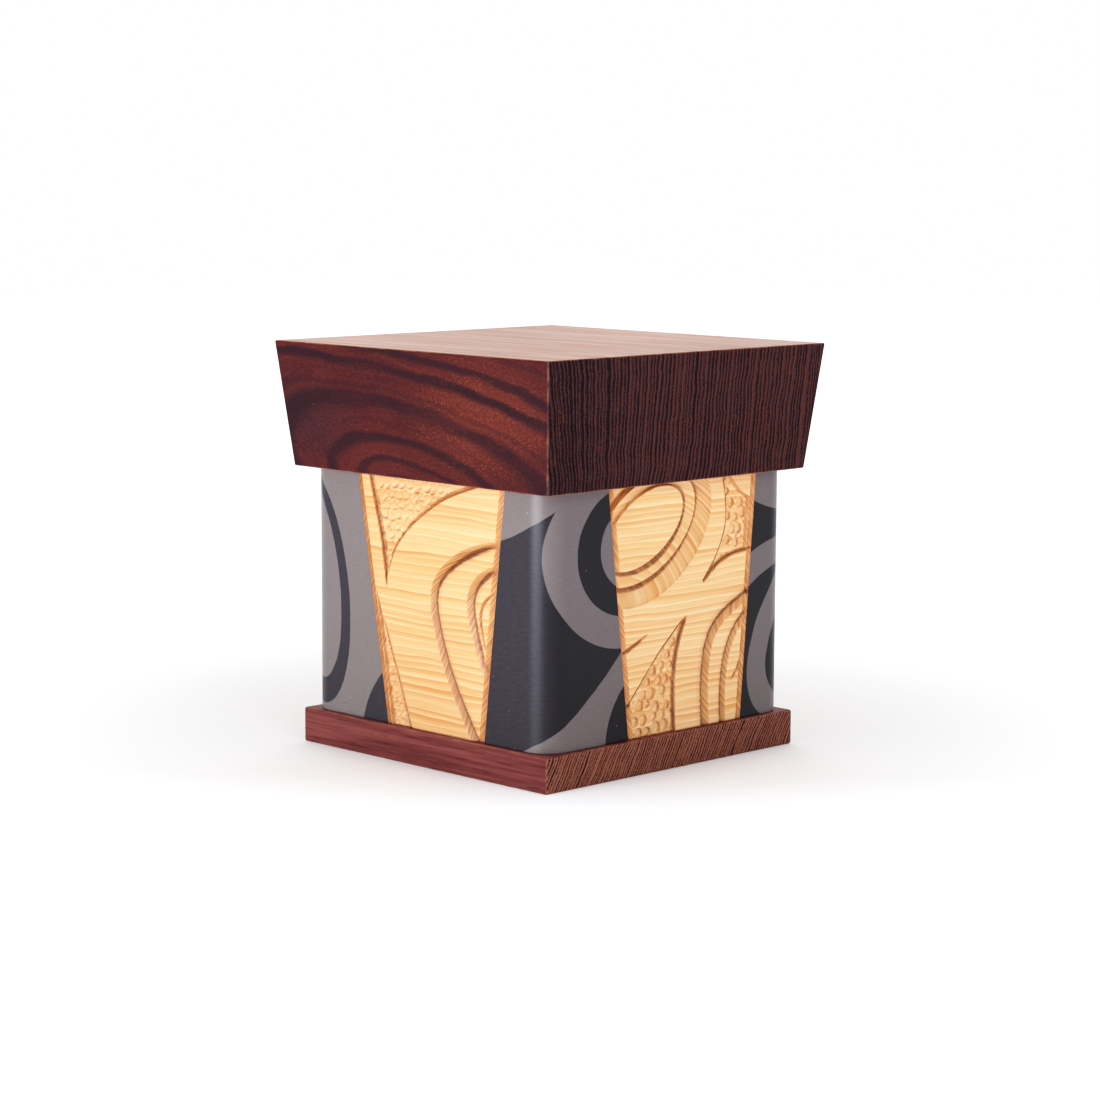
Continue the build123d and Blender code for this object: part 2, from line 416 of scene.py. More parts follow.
def plank_ring(up, inset):
    """The outside at one height, from the lip round to the far end: around, depth, and whether painted."""
    lip_angle = math.acos((BEND_RADIUS - RABBET_LIP) / BEND_RADIUS)
    end_angle = math.acos((BEND_RADIUS - RABBET_LIP - RABBET_GAP) / BEND_RADIUS)
    first = -2 * WALL_STEP - (lip_angle - math.pi / 4) * BEND_RADIUS
    last = 2 * WALL_STEP - (end_angle - math.pi / 4) * BEND_RADIUS
    shares = [step / BEND_STEPS for step in range(BEND_STEPS)]
    outside = []
    for wall in WALL_DESIGN:
        middle = wall_middle(wall)
        flat_start, flat_end = middle - FLAT / 2, middle + FLAT / 2
        start = middle - WALL_STEP / 2 if wall > -2 else first
        end = middle + WALL_STEP / 2 if wall < 1 else last
        left, right = (middle + float(panel_side(WALL_DESIGN[wall], side, up)) for side in (0, 1))
        outside += [(start + (flat_start - start) * share, inset, True) for share in shares]
        outside += [(flat_start, inset, True), (left, inset, False), (left, PANEL_THICKNESS, False)]
        outside += [(right, PANEL_THICKNESS, False), (right, inset, True)]
        outside += [(flat_end + (end - flat_end) * share, inset, True) for share in shares]
    outside.append((last, inset, False))
    return outside


def kerf_points(x_side, y_side, mouth):
    """Four points in and out of a closed kerf, in the order that inside_points meets them."""
    wood = BEND_RADIUS - (BEND_RADIUS - PLANK_THICKNESS) * math.sqrt(2)
    deep = (wood - BEND_SKIN) / math.sqrt(2)
    half_gap = KERF_GAP / math.sqrt(2)
    reach = MOUTH + deep
    return [
        ((mouth - half_gap) * x_side, mouth * y_side),
        ((reach - half_gap / 2) * x_side, (reach + half_gap / 2) * y_side),
        ((reach + half_gap / 2) * x_side, (reach - half_gap / 2) * y_side),
        (mouth * x_side, (mouth - half_gap) * y_side),
    ]


def inside_points(inset):
    """The inner faces, kerfs and rabbet, from the +Y wall's end round to the lip."""
    mouth = MOUTH + inset
    lip = HALF_WIDTH - RABBET_LIP
    end = lip - RABBET_GAP
    points = [(-end, mouth)]
    points += kerf_points(1, 1, mouth)
    points += kerf_points(1, -1, mouth)[::-1]
    points += kerf_points(-1, -1, mouth)
    points += [(-mouth, MOUTH - RABBET_GAP), (-lip, MOUTH - RABBET_GAP)]
    return points


def painted_plank():
    """The bent plank as one closed mesh, painted outside, with a recess for each carved panel."""
    rows = ((0, ARRIS), (ARRIS, 0), (PLANK_HEIGHT - ARRIS, 0), (PLANK_HEIGHT, ARRIS))
    points, around, ups, depths, painted = [], [], [], [], []
    for up, inset in rows:
        outside = plank_ring(up, inset)
        inside = inside_points(inset)
        s = np.array([o[0] for o in outside])
        d = np.array([o[1] for o in outside])
        x, y = round_the_box(s, d)
        points += [(px, py, up + PLANK_FOOT) for px, py in zip(x, y)]
        points += [(px, py, up + PLANK_FOOT) for px, py in inside]
        around += s.tolist()
        depths += d.tolist()
        for px, py in inside:
            wall = round((math.atan2(py, px) - 1e-4) / (math.pi / 2))
            turn = wall * math.pi / 2
            along = py * math.cos(turn) - px * math.sin(turn)
            out = px * math.cos(turn) + py * math.sin(turn)
            wall = wall - 4 if wall > 1 else wall
            around.append(wall_middle(wall) + along)
            depths.append(HALF_WIDTH - out)
        ups += [up] * (len(outside) + len(inside))
        painted = [o[2] for o in outside] + [False] * len(inside)
    count = len(painted)
    faces, slots = [], []
    for row in range(len(rows) - 1):
        for i in range(count):
            j = (i + 1) % count
            a, b = row * count, (row + 1) * count
            faces.append((a + i, a + j, b + j, b + i))
            slots.append(0 if painted[i] else 1)
    faces.append(tuple(reversed(range(count))))
    faces.append(tuple(range((len(rows) - 1) * count, len(rows) * count)))
    slots += [1, 1]
    piece = make_mesh("painted_plank", points, faces)
    lay_board_maps(piece.data, around, ups, depths)
    piece.data.polygons.foreach_set("material_index", slots)
    return piece


def drill(start, end, radius):
    """Points and faces of one closed cylinder between two points, in mm."""
    sides = HOLE_SIDES
    start, end = Vector(start), Vector(end)
    along = (end - start).normalized()
    first = along.orthogonal().normalized()
    second = along.cross(first)
    points, faces = [], []
    for centre in (start, end):
        for side in range(sides):
            angle = 2 * math.pi * side / sides
            points.append(centre + radius * (math.cos(angle) * first + math.sin(angle) * second))
    for side in range(sides):
        after = (side + 1) % sides
        faces.append((side, after, sides + after, sides + side))
    faces.append(tuple(range(sides - 1, -1, -1)))
    faces.append(tuple(range(sides, 2 * sides)))
    return points, faces


def drill_for_pegs(plank):
    """Cuts every peg's hole out of the plank, with the bare finish, which is its second, inside."""
    holes = []
    for number in range(CORNER_PEGS):
        up = PLANK_FOOT + CORNER_PEG_END + number * (PLANK_HEIGHT - 2 * CORNER_PEG_END) / (CORNER_PEGS - 1)
        slope = math.tan(math.radians(CORNER_PEG_SLANT)) * (-1 if number % 2 else 1)
        across = MOUTH + CORNER_PEG_COVER
        ends = [(-HALF_WIDTH + run, across, up + slope * run) for run in (-HOLE_RUN_OUT, CORNER_PEG_REACH)]
        holes.append(drill(*ends, CORNER_PEG_HOLE))
    middle = HALF_WIDTH - PLANK_THICKNESS / 2
    along = HALF_WIDTH - BASE_PEG_FROM_CORNER
    for x, y in ((middle, along), (middle, -along), (-middle, along), (-middle, -along)):
        for px, py in ((x, y), (y, x)):
            foot = (px, py, PLANK_FOOT - HOLE_RUN_OUT)
            holes.append(drill(foot, (px, py, BASE_PEG_TOP), BASE_PEG_HOLE))
    points, faces = [], []
    for hole_points, hole_faces in holes:
        faces += [tuple(len(points) + i for i in face) for face in hole_faces]
        points += hole_points
    cutter = make_mesh("peg_holes", [tuple(p) for p in points], faces)
    for _ in plank.data.materials:
        cutter.data.materials.append(None)
    cutter.data.polygons.foreach_set("material_index", [1] * len(faces))
    cut = plank.modifiers.new("holes", "BOOLEAN")
    cut.operation = "DIFFERENCE"
    cut.solver = "EXACT"
    cut.object = cutter
    drilled = bpy.data.meshes.new_from_object(plank.evaluated_get(bpy.context.evaluated_depsgraph_get()))
    plank.modifiers.clear()
    plank.data = drilled
    bpy.data.objects.remove(cutter)
    drilled.shade_smooth()
    drilled.set_sharp_from_angle(angle=math.radians(30))


# ---- Shader tools ----

def feed(tree, socket, value):
    """Links a socket to another one, or fills it with a value."""
    if isinstance(value, bpy.types.NodeSocket):
        tree.links.new(value, socket)
    else:
        socket.default_value = value


def put(tree, kind, inputs=None, **settings):
    """Adds a shader node, sets it up, and links or fills its inputs by name."""
    node = tree.nodes.new("ShaderNode" + kind)
    for name, value in settings.items():
        setattr(node, name, value)
    for name, value in (inputs or {}).items():
        feed(tree, node.inputs[name], value)
    return node


def calc(tree, operation, *values):
    """The result of one Math node on sockets or numbers."""
    node = put(tree, "Math", operation=operation)
    for socket, value in zip(node.inputs, values):
        feed(tree, socket, value)
    return node.outputs[0]


def plus(tree, first, second):
    return calc(tree, "ADD", first, second)


def minus(tree, first, second):
    return calc(tree, "SUBTRACT", first, second)


def times(tree, first, second):
    return calc(tree, "MULTIPLY", first, second)


def hypotenuse(tree, first, second):
    return calc(tree, "SQRT", plus(tree, times(tree, first, first), times(tree, second, second)))


def in_mm(tree, metres):
    return calc(tree, "DIVIDE", metres, MM)


def sway(tree, value, wobble, amount):
    """A value moved to and fro by a noise about 0.5, by up to half the amount each way."""
    return plus(tree, value, times(tree, minus(tree, wobble, 0.5), amount))


def split(tree, vector):
    """The X, Y and Z of a vector."""
    return put(tree, "SeparateXYZ", {"Vector": vector}).outputs


def join(tree, x, y, z=0.0):
    """A vector from its X, Y and Z."""
    return put(tree, "CombineXYZ", {"X": x, "Y": y, "Z": z}).outputs[0]


def object_place(tree):
    """Where a point is on its piece, in metres, and which way the surface faces there."""
    coordinates = put(tree, "TexCoord").outputs
    return coordinates["Object"], split(tree, coordinates["Normal"])


def remap(tree, value, low, high, to_low=0.0, to_high=1.0, kind="SMOOTHSTEP"):
    """A value eased from one range to another, and held at its ends."""
    node = put(tree, "MapRange", {"Value": value, "From Min": low, "From Max": high,
                                            "To Min": to_low, "To Max": to_high}, interpolation_type=kind)
    return node.outputs[0]


def mix_colours(tree, share, first, second, mode="MIX"):
    """Two colours, each a socket or an RGB triple, mixed by a share."""
    node = put(tree, "Mix", data_type="RGBA", blend_type=mode)
    for socket, value in ((0, share), (6, first), (7, second)):
        feed(tree, node.inputs[socket], (*value, 1) if isinstance(value, tuple) else value)
    return node.outputs[2]


def lay_over(tree, colour, *layers):
    """A colour with others laid over it in turn, each given as its share and its colour."""
    for share, layer in layers:
        colour = mix_colours(tree, share, colour, layer)
    return colour


def reach_of(tree, vector):
    """The length of a vector."""
    return put(tree, "VectorMath", {0: vector}, operation="LENGTH").outputs["Value"]


def reach_along(tree, vector, direction):
    """How far a vector goes in a direction."""
    return put(tree, "VectorMath", {0: vector, 1: direction},
               operation="DOT_PRODUCT").outputs["Value"]


def noise(tree, vector, scale, detail=3.0, roughness=0.55):
    """Smooth noise from 0 to 1 on a vector, at one scale or at a scale of its own along each axis."""
    if isinstance(scale, tuple):
        vector = put(tree, "Mapping", {"Vector": vector, "Scale": scale}).outputs[0]
        scale = 1.0
    return put(tree, "TexNoise", {"Vector": vector, "Scale": scale, "Detail": detail,
                                            "Roughness": roughness}).outputs["Fac"]


def new_group(name, inputs, outputs):
    """An empty shader group with named inputs and outputs."""
    tree = bpy.data.node_groups.new(name, "ShaderNodeTree")
    for title, kind, value in inputs:
        socket = tree.interface.new_socket(title, in_out="INPUT", socket_type="NodeSocket" + kind)
        if value is not None:
            socket.default_value = value
    for title, kind in outputs:
        tree.interface.new_socket(title, in_out="OUTPUT", socket_type="NodeSocket" + kind)
    return tree, tree.nodes.new("NodeGroupInput").outputs, tree.nodes.new("NodeGroupOutput")


def use_group(tree, group, inputs):
    """Places a group in a tree and returns its outputs."""
    return put(tree, "Group", inputs, node_tree=group).outputs


def new_material(name):
    """A material and its Principled shader."""
    material = bpy.data.materials.new(name)
    material.use_nodes = True
    tree = material.node_tree
    return material, tree, tree.nodes["Principled BSDF"]


def finish_surface(tree, shader, colour, roughness, height, strength, distance, specular):
    """Joins colour, roughness and a bump height to a Principled shader, and sets how much it reflects."""
    tree.links.new(colour, shader.inputs["Base Color"])
    tree.links.new(roughness, shader.inputs["Roughness"])
    bump = put(tree, "Bump", {"Height": height, "Strength": strength, "Distance": distance})
    tree.links.new(bump.outputs[0], shader.inputs["Normal"])
    shader.inputs["Specular IOR Level"].default_value = specular


# ---- Effects shared by several finishes ----

def growth_rings_group():
    """Growth rings: late wood comes on slowly and stops short, and no two rings are alike."""
    tree, given, out = new_group(
        "growth_rings",
        [("Ring mm", "Float", 0.0), ("Place", "Vector", None), ("Spacing mm", "Float", 2.5),
         ("Waver mm", "Float", 1.0), ("Waver scale", "Float", 20.0), ("Start", "Float", 0.35)],
        [("Late wood", "Float"), ("Pale line", "Float"), ("Ring tint", "Float")])
    waver = noise(tree, given["Place"], given["Waver scale"], 2.0, 0.5)
    ring_mm = sway(tree, given["Ring mm"], waver, given["Waver mm"])
    count = calc(tree, "DIVIDE", ring_mm, given["Spacing mm"])
    uneven = put(tree, "TexNoise", {"W": count, "Scale": 0.43, "Detail": 1.0},
                 noise_dimensions="1D").outputs["Fac"]
    count = plus(tree, count, times(tree, uneven, 1.3))
    part = calc(tree, "FRACT", count)
    rise = remap(tree, part, given["Start"], 0.9)
    stop = remap(tree, part, 0.93, 1.0, 1.0, 0.0)
    tint = put(tree, "TexWhiteNoise", {"W": calc(tree, "FLOOR", count)},
               noise_dimensions="1D").outputs["Value"]
    late = times(tree, rise, stop)
    tree.links.new(remap(tree, part, 0.0, 0.22, 1.0, 0.0), out.inputs["Pale line"])
    tree.links.new(times(tree, late, remap(tree, tint, 0.0, 1.0, 0.6, 1.0)), out.inputs["Late wood"])
    tree.links.new(tint, out.inputs["Ring tint"])
    return tree


def fibre_group():
    """Fine fibre along the grain, as a value about 0.5."""
    tree, given, out = new_group("fibre", [("Place", "Vector", None)],
                                 [("Fibre", "Float"), ("Patches", "Float")])
    fine = noise(tree, given["Place"], (60, 1500, 1500), 4.0, 0.6)
    coarse = noise(tree, given["Place"], (22, 420, 420), 3.0, 0.6)
    tree.links.new(plus(tree, times(tree, fine, 0.55), times(tree, coarse, 0.45)), out.inputs["Fibre"])
    tree.links.new(noise(tree, given["Place"], (14, 34, 34), 2.0, 0.5), out.inputs["Patches"])
    return tree


def dust_group():
    """Sparse specks of dust and lint, 1 on a speck."""
    tree, given, out = new_group("dust", [("Place", "Vector", None), ("Spread", "Float", 320.0),
                                          ("Share", "Float", 0.06)], [("Speck", "Float")])
    cells = put(tree, "TexVoronoi", {"Vector": given["Place"], "Scale": given["Spread"]})
    chance = put(tree, "TexWhiteNoise", {"Vector": cells.outputs["Position"]},
                 noise_dimensions="3D").outputs["Value"]
    chosen = calc(tree, "LESS_THAN", chance, given["Share"])
    spot = remap(tree, cells.outputs["Distance"], 0.04, 0.1, 1.0, 0.0)
    tree.links.new(times(tree, chosen, spot), out.inputs["Speck"])
    return tree


def arris_group():
    """1 along the edges of a block: half its width, its foot and top, and how much it flares, all in mm."""
    tree, given, out = new_group(
        "arris", [("Place", "Vector", None), ("Half width", "Float", 70.0), ("Flare", "Float", 0.0),
                  ("Foot", "Float", 0.0), ("Top", "Float", 10.0), ("Reach", "Float", 1.2)],
        [("Edge", "Float")])
    place = split(tree, given["Place"])
    height = in_mm(tree, place["Z"])
    rise = minus(tree, height, given["Foot"])
    span = minus(tree, given["Top"], given["Foot"])
    half = plus(tree, given["Half width"], times(tree, given["Flare"], calc(tree, "DIVIDE", rise, span)))
    gaps = [minus(tree, half, calc(tree, "ABSOLUTE", in_mm(tree, place[axis]))) for axis in ("X", "Y")]
    gaps.append(calc(tree, "MINIMUM", calc(tree, "ABSOLUTE", rise),
                     calc(tree, "ABSOLUTE", minus(tree, given["Top"], height))))
    pairs = [calc(tree, "MAXIMUM", gaps[a], gaps[b]) for a, b in ((0, 1), (1, 2), (0, 2))]
    nearest = calc(tree, "MINIMUM", calc(tree, "MINIMUM", pairs[0], pairs[1]), pairs[2])
    tree.links.new(remap(tree, calc(tree, "DIVIDE", nearest, given["Reach"]), 0.0, 1.0, 1.0, 0.0),
                   out.inputs["Edge"])
    return tree


RINGS = growth_rings_group()
FIBRE = fibre_group()
DUST = dust_group()
ARRIS_WEAR = arris_group()


# ---- Finishes ----

def board_place(tree):
    """Where a point was on the unbent plank, in metres: along the grain, up, and into the wood."""
    flat = split(tree, put(tree, "UVMap", uv_map="board").outputs[0])
    deep = split(tree, put(tree, "UVMap", uv_map="board_depth").outputs[0])
    return join(tree, flat["X"], flat["Y"], deep["X"]), flat["X"], flat["Y"], deep["X"]


def yellow_cedar(name, cream, pale, golden, ring, cut_colour=None):
    """Bare yellow cedar, with rings that lean into the plank, so that a bevel shows them as feathers."""
    material, tree, shader = new_material(name)
    place, along, up, deep = board_place(tree)
    lean = minus(tree, up, times(tree, deep, 2.6))
    ring_mm = in_mm(tree, lean)
    leaned = join(tree, times(tree, along, 0.35), lean)
    rings = use_group(tree, RINGS, {"Ring mm": ring_mm, "Place": leaned, "Spacing mm": 2.7, "Waver mm": 5.0,
                                    "Waver scale": 55.0, "Start": 0.05})
    close = use_group(tree, RINGS, {"Ring mm": ring_mm, "Place": leaned, "Spacing mm": 1.15, "Waver mm": 3.0,
                                    "Waver scale": 75.0, "Start": 0.1})
    broad = noise(tree, leaned, (24, 110, 1), 3.0, 0.6)
    fibre = use_group(tree, FIBRE, {"Place": place})
    late = times(tree, rings["Late wood"], remap(tree, rings["Ring tint"], 0.0, 1.0, 0.35, 1.1))
    late = times(tree, late, remap(tree, fibre["Patches"], 0.3, 0.65, 0.6, 1.0))
    colour = mix_colours(tree, remap(tree, broad, 0.34, 0.68, 0.0, 0.6), pale, golden)
    fine_line = times(tree, close["Late wood"], remap(tree, close["Ring tint"], 0.2, 1.0, 0.0, 0.42))
    # The pale line at the start of each ring is partly the pale early wood and partly a painted highlight
    # along the raised ring.
    pale_wood_and_highlight = times(tree, rings["Pale line"], remap(tree, fibre["Patches"], 0.3, 0.7, 0.75, 0.35))
    dark_fibre = remap(tree, fibre["Fibre"], 0.5, 0.72, 0.0, 0.3)
    colour = lay_over(tree, colour, (late, ring), (fine_line, ring), (pale_wood_and_highlight, cream), (dark_fibre, ring))
    if cut_colour:
        cross = put(tree, "Attribute", attribute_name="cross_cut").outputs["Fac"]
        slope = remap(tree, cross, 0.04, 0.45)
        uneven = noise(tree, leaned, (150, 760, 1), 4.0, 0.68)
        streak = plus(tree, times(tree, rings["Late wood"], 0.16), uneven)
        streak = times(tree, slope, remap(tree, streak, 0.4, 0.76, 0.0, 0.85))
        # Painted shade in the cuts: the panel's shade attribute, broken up by the fibre, lays brown and then
        # near-black along the bottoms and walls of cuts.
        painted_cut_shade = put(tree, "Attribute", attribute_name="painted_cut_shade").outputs["Fac"]
        rough_edge = plus(tree, remap(tree, fibre["Fibre"], 0.3, 0.7, 0.55, 0.85),
                          remap(tree, uneven, 0.35, 0.65, 0.0, 0.45))
        cut_shade_amount = times(tree, calc(tree, "POWER", painted_cut_shade, 1.2), rough_edge)
        colour = lay_over(
            tree, colour, (times(tree, slope, 0.5), ring), (streak, cut_colour),
            (remap(tree, cut_shade_amount, 0.05, 0.75, 0.0, 0.85, "LINEAR"), (0.40, 0.155, 0.052)),
            (remap(tree, cut_shade_amount, 0.65, 1.05, 0.0, 0.62), (0.13, 0.043, 0.016)))
    # Painted shade: the wood is coloured darker and warmer on the left and front walls, where the key light
    # falls, and keeps its colour on the right and back walls.
    wall_shade_share = remap(tree, in_mm(tree, along), -WALL_STEP / 2, WALL_STEP / 2)
    tone = mix_colours(tree, wall_shade_share, (0.86, 0.785, 0.66), (1.0, 0.985, 0.93))
    colour = mix_colours(tree, 1.0, colour, tone, "MULTIPLY")
    rough = remap(tree, fibre["Fibre"], 0.2, 0.8, 0.42, 0.6)
    height = minus(tree, fibre["Fibre"], times(tree, rings["Late wood"], 0.5))
    finish_surface(tree, shader, colour, rough, height, strength=0.35, distance=0.0002, specular=0.35)
    return material


def red_cedar_surface(tree, shader, side_late, side_colour, end_late, end_colours, sizes, gloss):
    """Joins the long grain and the end grain of a red cedar block, with rubbed edges and a little dust."""
    place, facing = object_place(tree)
    end = remap(tree, calc(tree, "ABSOLUTE", facing["X"]), 0.55, 0.8)
    end_dark, end_pale = end_colours
    pores = noise(tree, place, 1500.0, 2.0, 0.65)
    breaks = noise(tree, place, (160, 330, 160), 3.0, 0.6)
    grainy = times(tree, end_late, remap(tree, breaks, 0.3, 0.62, 0.7, 1.1))
    grainy = sway(tree, grainy, pores, 1.5)
    end_colour = mix_colours(tree, remap(tree, grainy, 0.0, 0.75), end_pale, end_dark)
    edge = use_group(tree, ARRIS_WEAR, dict(sizes, Place=place))["Edge"]
    worn = remap(tree, noise(tree, place, 190.0), 0.4, 0.66, 0.08, 0.55)
    speck = use_group(tree, DUST, {"Place": place, "Spread": 430.0, "Share": 0.022})["Speck"]
    colour = lay_over(tree, side_colour, (end, end_colour), (times(tree, edge, worn), (0.40, 0.20, 0.14)),
                      (times(tree, speck, 0.5), (0.42, 0.32, 0.27)))
    fibre = use_group(tree, FIBRE, {"Place": place})["Fibre"]
    rough = remap(tree, fibre, 0.2, 0.8, gloss, gloss + 0.12)
    rough = plus(tree, rough, times(tree, end, 0.2))
    rough = plus(tree, rough, times(tree, side_late, 0.08))
    height = minus(tree, fibre, times(tree, side_late, 0.3))
    finish_surface(tree, shader, colour, rough, height, strength=0.25, distance=0.00012, specular=0.07)


def lid_arches(tree, x, y, z):
    """How far out a point on the lid's long sides lies in its nest of lopsided arches, across, and up."""
    across = times(tree, x, times(tree, calc(tree, "SIGN", y), -1.0))
    up = minus(tree, z, LID_FOOT)
    side = plus(tree, plus(tree, across, 6.6), times(tree, up, 0.88))
    stretch = plus(tree, times(tree, up, 0.021), 1.96)
    left = calc(tree, "LESS_THAN", side, 0.0)
    stretch = times(tree, stretch, minus(tree, 1.0, times(tree, left, 0.2)))
    side = calc(tree, "DIVIDE", side, stretch)
    rise = plus(tree, up, 13.6)
    return hypotenuse(tree, side, rise), across, up


def soft_blot(tree, across, up, centre, half):
    """A soft oval stain: 1 at its centre, 0 from its edge on."""
    a = calc(tree, "DIVIDE", minus(tree, across, centre[0]), half[0])
    b = calc(tree, "DIVIDE", minus(tree, up, centre[1]), half[1])
    return remap(tree, hypotenuse(tree, a, b), 0.1, 1.0, 1.0, 0.0)


# Dark rings on the lid's long sides: how far out in the nest of arches, half thickness in mm, and strength.
LID_RINGS = [(14.0, 1.4, 0.5), (20.6, 1.5, 0.75), (29.1, 2.3, 0.95), (34.2, 1.2, 0.18), (41.9, 3.3, 1.0),
             (46.4, 1.3, 0.42), (55.4, 2.3, 1.0), (62.0, 1.9, 0.95), (70.5, 1.3, 0.4), (76.0, 1.7, 0.5)]


def lid_cedar():
    """Oiled red cedar: smoky arches on the long sides, close upright rings on the ends."""
    material, tree, shader = new_material("lid_red_cedar")
    place, facing = object_place(tree)
    x, y, z = (in_mm(tree, part) for part in split(tree, place))
    reach, across, up = lid_arches(tree, x, y, z)
    slow = noise(tree, place, (22, 22, 60), 2.0, 0.5)
    quick = noise(tree, place, (130, 130, 420), 3.0, 0.6)
    lift = times(tree, remap(tree, across, 5.0, -75.0, 0.0, 4.8), remap(tree, up, 18.0, 42.0))
    wavy = minus(tree, sway(tree, sway(tree, reach, slow, 7.0), quick, 1.0), lift)
    arches = 0.0
    for middle, half, strength in LID_RINGS:
        gap = minus(tree, wavy, middle)
        below = times(tree, calc(tree, "MINIMUM", gap, 0.0), -0.6)
        gap = plus(tree, calc(tree, "MAXIMUM", gap, 0.0), below)
        arches = calc(tree, "MAXIMUM", arches, remap(tree, gap, 0.2 * half, 0.9 * half, strength, 0.0))
    patches = noise(tree, place, (16, 40, 40), 3.0, 0.55)
    arches = times(tree, arches, remap(tree, patches, 0.3, 0.62, 0.65, 1.0))

    streaks = noise(tree, join(tree, times(tree, across, 0.05), times(tree, wavy, 0.8), y), 1.1, 4.0, 0.65)
    slanting = put(tree, "Mapping", {"Vector": place, "Rotation": (0, math.radians(18), 0)})
    flecks = noise(tree, slanting.outputs[0], (760, 900, 2300), 2.0, 0.7)
    warm = soft_blot(tree, across, up, (38, 24), (52, 30))
    smoke = soft_blot(tree, across, up, (-56, 19), (36, 19))
    smoke = times(tree, smoke, remap(tree, slow, 0.35, 0.7, 0.35, 0.8))
    bright = times(tree, remap(tree, flecks, 0.5, 0.76), remap(tree, warm, 0.0, 0.6, 0.28, 0.6))
    broken = times(tree, arches, remap(tree, flecks, 0.42, 0.78, 0.96, 0.76))
    # The dark colours carry a grey-blue lift, a painted sheen of the oil, besides the wood's own dark
    # streaks, smoky patch and arches.
    colour = lay_over(
        tree, (0.066, 0.0125, 0.0150),
        (remap(tree, patches, 0.32, 0.68), (0.098, 0.0195, 0.0180)),
        (times(tree, warm, 0.6), (0.168, 0.038, 0.024)),
        (remap(tree, streaks, 0.45, 0.75, 0.0, 0.35), (0.15, 0.032, 0.027)),
        (remap(tree, streaks, 0.5, 0.25, 0.0, 0.3), (0.050, 0.0105, 0.014)),
        (smoke, (0.050, 0.0175, 0.0245)),
        (bright, (0.30, 0.092, 0.045)),
        (remap(tree, flecks, 0.5, 0.26, 0.0, 0.4), (0.036, 0.0095, 0.0115)),
        (broken, (0.028, 0.0096, 0.0158)))

    above = minus(tree, lid_high.z / MM, z)
    ripple = noise(tree, place, (60, 40, 125), 2.0, 0.5)
    near_front = remap(tree, y, -75.0, -15.0, 1.0, 0.0)
    lean = times(tree, times(tree, above, near_front), -0.24)
    ring_mm = plus(tree, plus(tree, y, lean), times(tree, ripple, 3.0))
    rings = use_group(tree, RINGS, {"Ring mm": ring_mm, "Place": place, "Spacing mm": 2.05, "Waver mm": 4.0,
                                    "Waver scale": 26.0, "Start": 0.02})
    # Painted light: the top is coloured far lighter and oranger than the sides of the same block, for the
    # light that falls on it and shines off it.
    top = remap(tree, calc(tree, "ABSOLUTE", facing["Z"]), 0.6, 0.85)
    lit_top_colour = lay_over(tree, (0.38, 0.135, 0.055), (rings["Late wood"], (0.17, 0.052, 0.026)),
                          (remap(tree, slow, 0.3, 0.7, 0.0, 0.4), (0.44, 0.17, 0.075)))
    colour = mix_colours(tree, top, colour, lit_top_colour)
    drawn_out = noise(tree, place, (10, 380, 10), 4.0, 0.65)
    worn_lines = times(tree, top, remap(tree, drawn_out, 0.3, 0.7, -1.1, 0.3))
    arches = plus(tree, times(tree, arches, minus(tree, 1.0, top)), worn_lines)
    sizes = {"Half width": lid_high.x / MM - LID_FLARE, "Flare": LID_FLARE, "Foot": LID_FOOT,
             "Top": lid_high.z / MM, "Reach": 0.7}
    end_late = plus(tree, rings["Late wood"], times(tree, near_front, 0.2))
    end_colours = (0.0135, 0.0064, 0.0105), (0.099, 0.0372, 0.0325)
    red_cedar_surface(tree, shader, arches, colour, end_late, end_colours, sizes, gloss=0.32)
    return material


def base_cedar():
    """Redder cedar: fine level lines on the long sides, close slanting rings on the ends."""
    material, tree, shader = new_material("base_red_cedar")
    place = put(tree, "TexCoord").outputs["Object"]
    parts = split(tree, place)
    y, z = in_mm(tree, parts["Y"]), in_mm(tree, parts["Z"])
    lean = minus(tree, times(tree, z, 0.5), times(tree, y, 0.86))
    bend = times(tree, noise(tree, place, (4, 60, 110), 2.0, 0.5), 2.2)
    rings = use_group(tree, RINGS, {"Ring mm": plus(tree, lean, bend), "Place": place,
                                    "Spacing mm": 1.25, "Waver mm": 1.6, "Waver scale": 60.0, "Start": 0.15})
    level = noise(tree, place, (12, 130, 430), 3.0, 0.6)
    fine = noise(tree, place, (70, 700, 1700), 3.0, 0.65)
    colour = lay_over(
        tree, (0.150, 0.040, 0.038),
        (remap(tree, level, 0.36, 0.62), (0.245, 0.078, 0.071)),
        (remap(tree, fine, 0.5, 0.72, 0.0, 0.5), (0.27, 0.085, 0.075)),
        (remap(tree, fine, 0.47, 0.28, 0.0, 0.75), (0.060, 0.016, 0.017)))
    sizes = {"Half width": base_high.x / MM, "Flare": 0.0, "Foot": 0.0, "Top": PLANK_FOOT, "Reach": 0.9}
    end_colours = (0.034, 0.012, 0.011), (0.34, 0.140, 0.096)
    red_cedar_surface(tree, shader, level, colour, rings["Late wood"], end_colours, sizes, gloss=0.4)
    return material


# The painted design is built of ovals laid one over another round each bent corner, as
# (around, up, half length, half height, tilt in degrees, 1 for charcoal or 0 for grey), in mm.
# Around is measured from the middle of the bend; the plain ground under them is grey.
BEND_OVALS = {
    "front": [(-80, 144, 160, 160, 0, 1), (-63, 192, 123, 123, 0, 0), (39, 71, 41, 36, 0, 0),
              (39, 71, 26, 24, 0, 1), (40, 72, 15, 15, 0, 0), (60, -2, 32, 32, 0, 1)],
    "right": [(0, 60, 90, 80, 0, 1), (8, 141.5, 63, 63, 0, 0), (8, 12, 62, 58, 0, 0), (8, 12, 48, 48, 0, 1),
              (12, 34.5, 25, 42, -38, 0), (12, 30, 17, 27, -40, 1), (12, 31, 12.5, 20, -34, 0)],
    "left": [(0, 49, 20.4, 46.5, 8.5, 1), (-0.5, 52, 15.5, 39.5, 9, 0), (68.6, -10, 41, 41, 0, 1),
             (-66, 104, 41, 41, 0, 1)],
}


